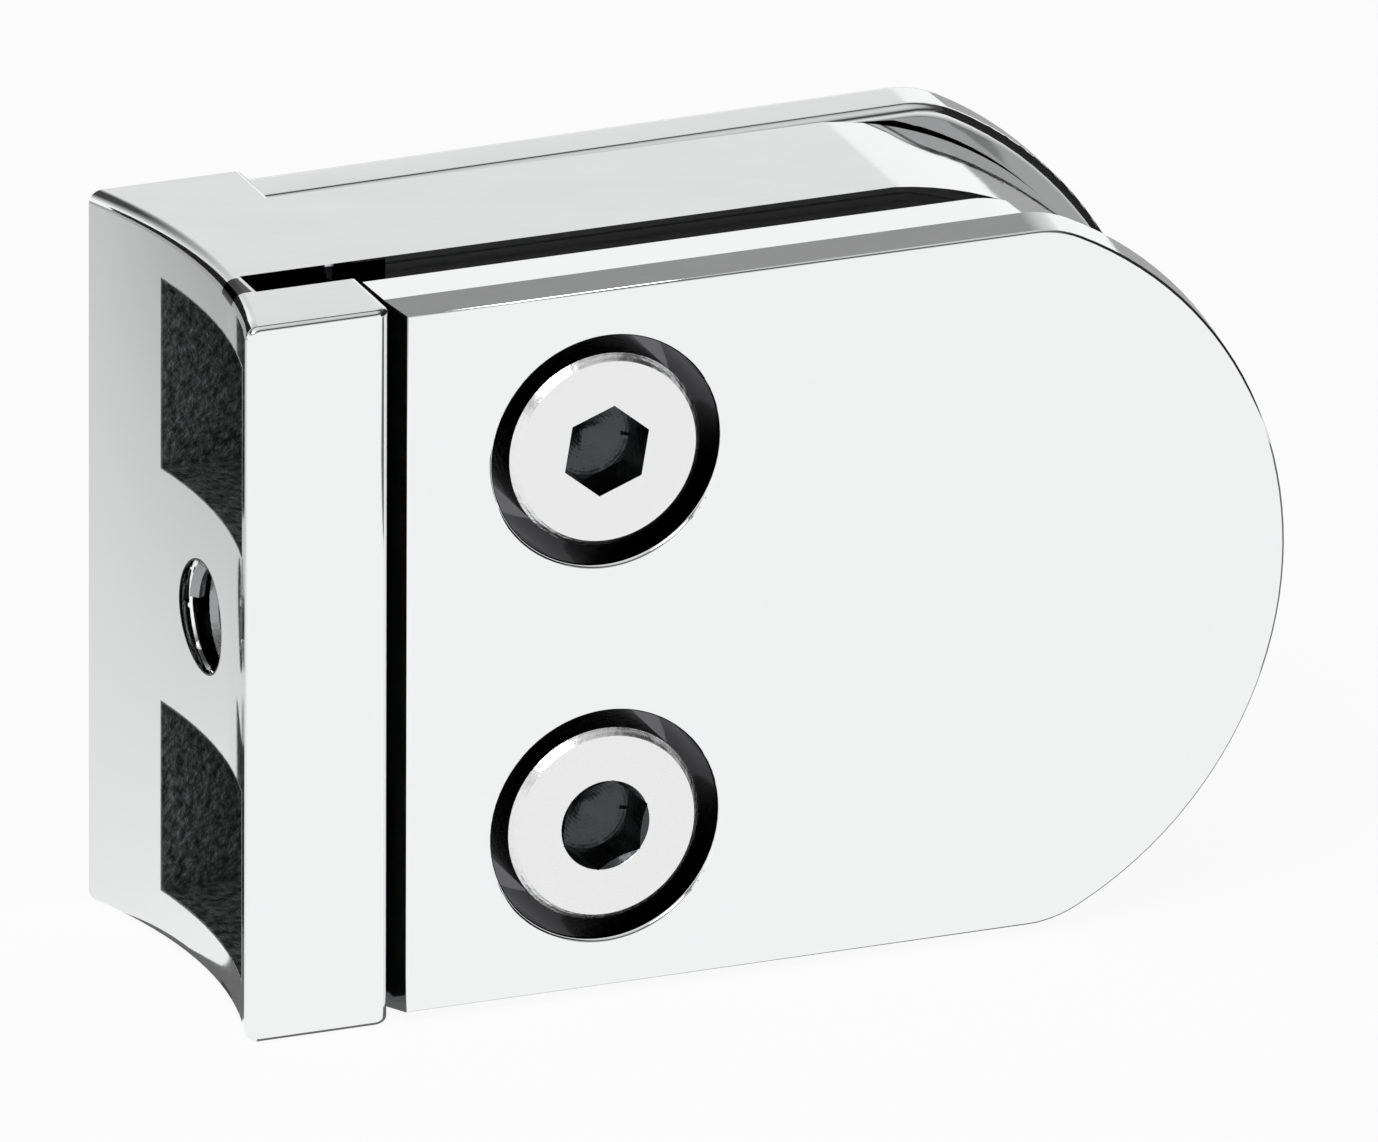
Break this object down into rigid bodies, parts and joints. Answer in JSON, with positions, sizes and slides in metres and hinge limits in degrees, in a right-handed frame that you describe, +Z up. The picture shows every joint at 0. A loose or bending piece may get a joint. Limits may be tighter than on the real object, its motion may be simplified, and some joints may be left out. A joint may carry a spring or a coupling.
{
  "type": "glass panel clamp",
  "caption": "Chromed cast clamp with a concave saddle for a round post and a D-shaped jaw closed by socket screws on a glass panel.",
  "frame": {"origin": "mouth of the post bolt's hole, at the deepest line of the saddle", "axes": "+X from the post into the glass panel, +Y from the front face to the rear, +Z up along the post"},
  "size_m": [0.0665, 0.0246, 0.045],
  "materials": {
    "chrome_casting": "polished chrome over a casting",
    "chrome_plate": "polished chrome",
    "black_rubber": "matte black",
    "screw_steel": "satin, turned"
  },
  "bodies": {
    "body": {"clamp_body": "chrome_casting", "body_gasket": "black_rubber"},
    "jaw": {"front_plate": "chrome_plate", "plate_gasket": "black_rubber"},
    "upper_screw_body": {"upper_screw": "screw_steel"},
    "lower_screw_body": {"lower_screw": "screw_steel"}
  },
  "joints": [
    {"name": "jaw_slide", "type": "slide", "parent": "body", "child": "jaw", "axis": [0, -1, 0], "range_m": [0, 0.008]},
    {"name": "upper_screw_turn", "type": "hinge", "parent": "jaw", "child": "upper_screw_body", "pos_m": [0.0209, -0.0117, 0.0118], "axis": [0, -1, 0], "range_deg": [0, 2880]},
    {"name": "lower_screw_turn", "type": "hinge", "parent": "jaw", "child": "lower_screw_body", "pos_m": [0.0209, -0.0117, -0.0118], "axis": [0, -1, 0], "range_deg": [0, 2880]}
  ],
  "couplings": [
    {"joint": "upper_screw_turn", "follows": "jaw_slide", "rad_per_m": 6283.1},
    {"joint": "lower_screw_turn", "follows": "jaw_slide", "rad_per_m": 6283.1}
  ]
}
